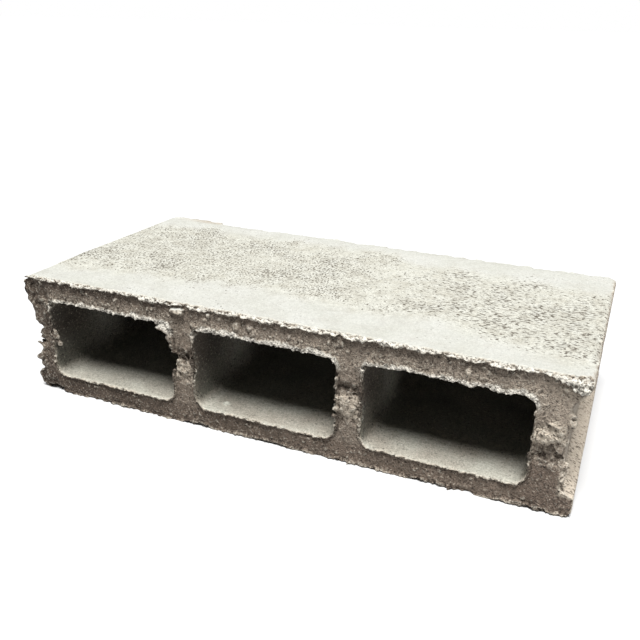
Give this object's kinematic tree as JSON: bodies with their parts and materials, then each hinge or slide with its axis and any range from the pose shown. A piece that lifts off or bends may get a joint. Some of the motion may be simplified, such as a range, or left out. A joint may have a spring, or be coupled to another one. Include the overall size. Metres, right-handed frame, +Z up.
{
  "type": "hollow concrete block",
  "caption": "Rectangular hollow concrete block lying on one face shell, with rounded tapering cells through its width, mortar grooves in both ends and worn, chipped edges.",
  "frame": {"origin": "on the floor, in the middle of the underside", "axes": "+X along the length to the right, +Y from the front bed face, where the cells are widest, to the back one, +Z up through both face shells"},
  "size_m": [0.39, 0.19, 0.09],
  "materials": {
    "concrete": "rough"
  },
  "bodies": {
    "root": {"block": "concrete"}
  },
  "joints": []
}
